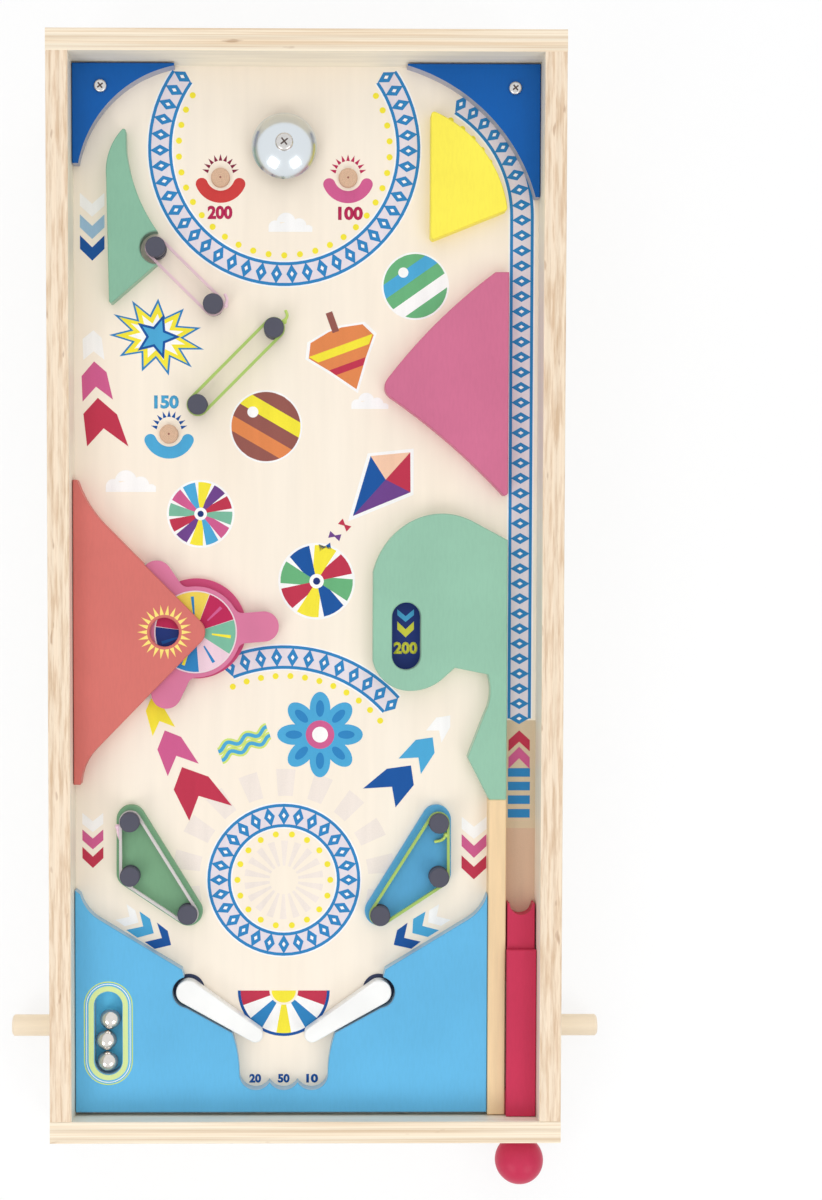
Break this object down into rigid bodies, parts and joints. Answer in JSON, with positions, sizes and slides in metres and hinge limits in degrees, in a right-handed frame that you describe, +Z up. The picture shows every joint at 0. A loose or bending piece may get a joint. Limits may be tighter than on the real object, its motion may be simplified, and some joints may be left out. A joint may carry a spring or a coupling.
{
  "type": "tabletop pinball game",
  "caption": "Sloping wooden tabletop pinball game with push-rod flippers, spring plunger, paddle wheel, bell, banded posts and loose steel balls.",
  "frame": {"origin": "Centre of the bounding box at its base, on the table top that the rubber feet stand on; the plunger's knob counts, so the wooden frame's own middle lies 13.4 mm to the rear.", "axes": "+X to the player's right, +Y from the player's end with the plunger to the high rear end, +Z up. The playing deck slopes: it rises 4.29 degrees toward +Y."},
  "size_m": [0.3304, 0.6268, 0.095],
  "materials": {
    "birch_ply": "clear-lacquered birch plywood with fine layers on the rims",
    "dowel_wood": "sanded beech",
    "deck_board": "smooth pale board with a satin printed face",
    "peg_wood": "sanded beech end grain",
    "rod_wood": "sanded beech rod",
    "blue_paint": "satin royal-blue paint on wood",
    "green_paint": "satin sage-green paint on wood",
    "mint_paint": "satin mint paint on wood",
    "yellow_paint": "satin lemon-yellow paint on wood",
    "pink_paint": "satin rose-pink paint on wood",
    "coral_paint": "satin coral paint on wood",
    "sky_paint": "satin sky-blue paint on wood",
    "red_paint": "satin raspberry-red paint on wood",
    "plate_green": "satin green paint on a thin board",
    "plate_blue": "satin blue paint on a thin board",
    "wheel_pink": "glossy rose-pink plastic",
    "base_pink": "glossy deep-pink plastic",
    "dial_print": "printed disc with coloured sectors",
    "post_slate": "matte slate-grey plastic",
    "band_clear": "translucent white elastic",
    "band_pink": "translucent pale-pink elastic",
    "band_lime": "translucent lime elastic",
    "flipper_white": "glossy white plastic",
    "bushing_navy": "matte dark plastic",
    "lever_black": "matte black plastic",
    "steel_rod": "plain ground steel",
    "steel_ball": "polished bearing steel",
    "gong_chrome": "polished nickel plate",
    "screw_steel": "bright zinc plate",
    "spring_steel": "drawn spring wire",
    "foot_rubber": "matte dark-grey rubber"
  },
  "bodies": {
    "table": {"apron_panel": "sky_paint", "bell_gong": "gong_chrome", "bell_post": "steel_rod", "bell_screw": "screw_steel", "bumper_plate_left": "plate_green", "bumper_plate_right": "plate_blue", "bumper_posts": "post_slate", "corner_block_left": "blue_paint", "corner_block_right": "blue_paint", "corner_screws": "screw_steel", "fin_block": "green_paint", "flipper_bushings": "bushing_navy", "frame_dowels": "dowel_wood", "front_board": "birch_ply", "lane_divider": "birch_ply", "left_bumper_band": "band_clear", "left_rod_guide": "dowel_wood", "left_side_board": "birch_ply", "mint_block": "mint_paint", "pink_block": "pink_paint", "playfield_deck": "deck_board", "plunger_cover": "red_paint", "rear_board": "birch_ply", "right_bumper_band": "band_lime", "right_rod_guide": "dowel_wood", "right_side_board": "birch_ply", "rubber_feet": "foot_rubber", "score_pegs": "peg_wood", "upper_band_green": "band_lime", "upper_band_pink": "band_pink", "wheel_axle": "steel_rod", "wheel_base": "base_pink", "wheel_cover": "coral_paint", "wheel_housing": "coral_paint", "yellow_wedge": "yellow_paint"},
    "plunger": {"plunger_striker": "red_paint", "plunger_rod": "steel_rod", "plunger_knob": "red_paint", "plunger_spring": "spring_steel"},
    "left_rod": {"left_push_rod": "rod_wood", "left_rod_collar": "lever_black", "left_rod_spring": "spring_steel"},
    "right_rod": {"right_push_rod": "rod_wood", "right_rod_collar": "lever_black", "right_rod_spring": "spring_steel"},
    "left_flipper": {"left_flipper": "flipper_white", "left_flipper_shaft": "steel_rod", "left_flipper_lever": "lever_black"},
    "right_flipper": {"right_flipper": "flipper_white", "right_flipper_shaft": "steel_rod", "right_flipper_lever": "lever_black"},
    "wheel": {"score_wheel": "wheel_pink", "wheel_dial": "dial_print"},
    "ball_1": {"steel_ball_1": "steel_ball"},
    "ball_2": {"steel_ball_2": "steel_ball"},
    "ball_3": {"steel_ball_3": "steel_ball"}
  },
  "joints": [
    {"name": "plunger_slide", "type": "slide", "parent": "table", "child": "plunger", "axis": [0, -0.9972, -0.0748], "range_m": [0, 0.04], "stiffness_N_per_m": 150, "springref_m": -0.008, "deforming": ["plunger_spring"]},
    {"name": "left_rod_slide", "type": "slide", "parent": "table", "child": "left_rod", "axis": [1, 0, 0], "range_m": [0, 0.0205], "stiffness_N_per_m": 60, "springref_m": -0.008, "deforming": ["left_rod_spring"]},
    {"name": "left_flipper_hinge", "type": "hinge", "parent": "table", "child": "left_flipper", "pos_m": [-0.06475, -0.20534, 0.03102], "axis": [0, -0.0748, 0.9972], "range_deg": [0, 48]},
    {"name": "right_rod_slide", "type": "slide", "parent": "table", "child": "right_rod", "axis": [-1, 0, 0], "range_m": [0, 0.0205], "stiffness_N_per_m": 60, "springref_m": -0.008, "deforming": ["right_rod_spring"]},
    {"name": "right_flipper_hinge", "type": "hinge", "parent": "table", "child": "right_flipper", "pos_m": [0.04075, -0.20534, 0.03102], "axis": [0, 0.0748, -0.9972], "range_deg": [0, 48]},
    {"name": "wheel_spin", "type": "hinge", "parent": "table", "child": "wheel", "pos_m": [-0.0605, -0.0068, 0.04922], "axis": [0, -0.0748, 0.9972], "continuous": true},
    {"name": "ball_1_lift", "type": "slide", "parent": "table", "child": "ball_1", "axis": [0, -0.0748, 0.9972], "range_m": [0, 0.03]},
    {"name": "ball_2_lift", "type": "slide", "parent": "table", "child": "ball_2", "axis": [0, -0.0748, 0.9972], "range_m": [0, 0.03]},
    {"name": "ball_3_lift", "type": "slide", "parent": "table", "child": "ball_3", "axis": [0, -0.0748, 0.9972], "range_m": [0, 0.03]}
  ],
  "couplings": [
    {"joint": "left_flipper_hinge", "follows": "left_rod_slide", "rad_per_m": 40.71},
    {"joint": "right_flipper_hinge", "follows": "right_rod_slide", "rad_per_m": 40.71}
  ]
}
